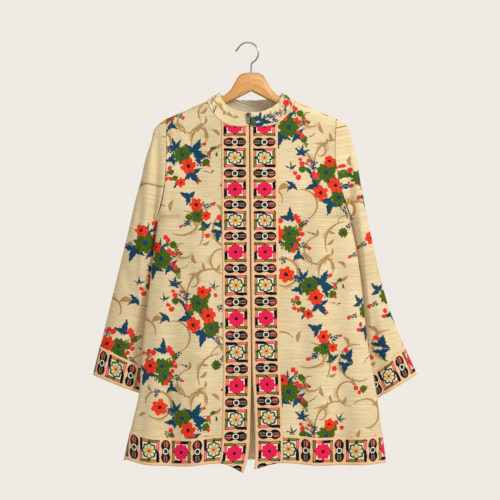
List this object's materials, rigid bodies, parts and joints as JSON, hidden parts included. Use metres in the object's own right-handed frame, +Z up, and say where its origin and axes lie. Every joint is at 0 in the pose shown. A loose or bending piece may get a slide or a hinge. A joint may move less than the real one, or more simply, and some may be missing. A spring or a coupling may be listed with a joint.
{
  "type": "zip-front tunic jacket on a hanger",
  "caption": "Flared tunic jacket of printed cloth with stand collar, front zip and ribbon trim, hung on a contoured wooden hanger.",
  "frame": {"origin": "inside top of the hanger's hook, where a rail or a peg holds it", "axes": "+Z up, -Y the jacket's front, +X the wearer's left"},
  "size_m": [0.7222, 0.1232, 0.9476],
  "materials": {
    "printed_cloth": "slubbed plain weave, cream, with a printed floral pattern",
    "ribbon": "woven ribbon with a repeating flower pattern",
    "zip_tape": "dark woven zip tape",
    "zip_metal": "bright nickel plate",
    "wood": "pale varnished wood",
    "hook_wire": "plated steel wire"
  },
  "bodies": {
    "root": {"front_right": "printed_cloth", "front_left": "printed_cloth", "back": "printed_cloth", "sleeve_right": "printed_cloth", "sleeve_left": "printed_cloth", "collar": "printed_cloth", "front_ribbon_right": "ribbon", "front_ribbon_left": "ribbon", "hem_ribbon_right": "ribbon", "hem_ribbon_left": "ribbon", "hem_ribbon_back": "ribbon", "cuff_ribbon_right": "ribbon", "cuff_ribbon_left": "ribbon", "zip": "zip_tape", "zip_slider": "zip_metal", "hanger_arm_right": "wood", "hanger_arm_left": "wood", "hanger_hook": "hook_wire"},
    "pull": {"zip_pull": "zip_metal"}
  },
  "joints": [
    {"name": "pull_swing", "type": "hinge", "parent": "root", "child": "pull", "pos_m": [0.0005, -0.0459, -0.1645], "axis": [-1, 0, 0], "range_deg": [0, 150]}
  ]
}
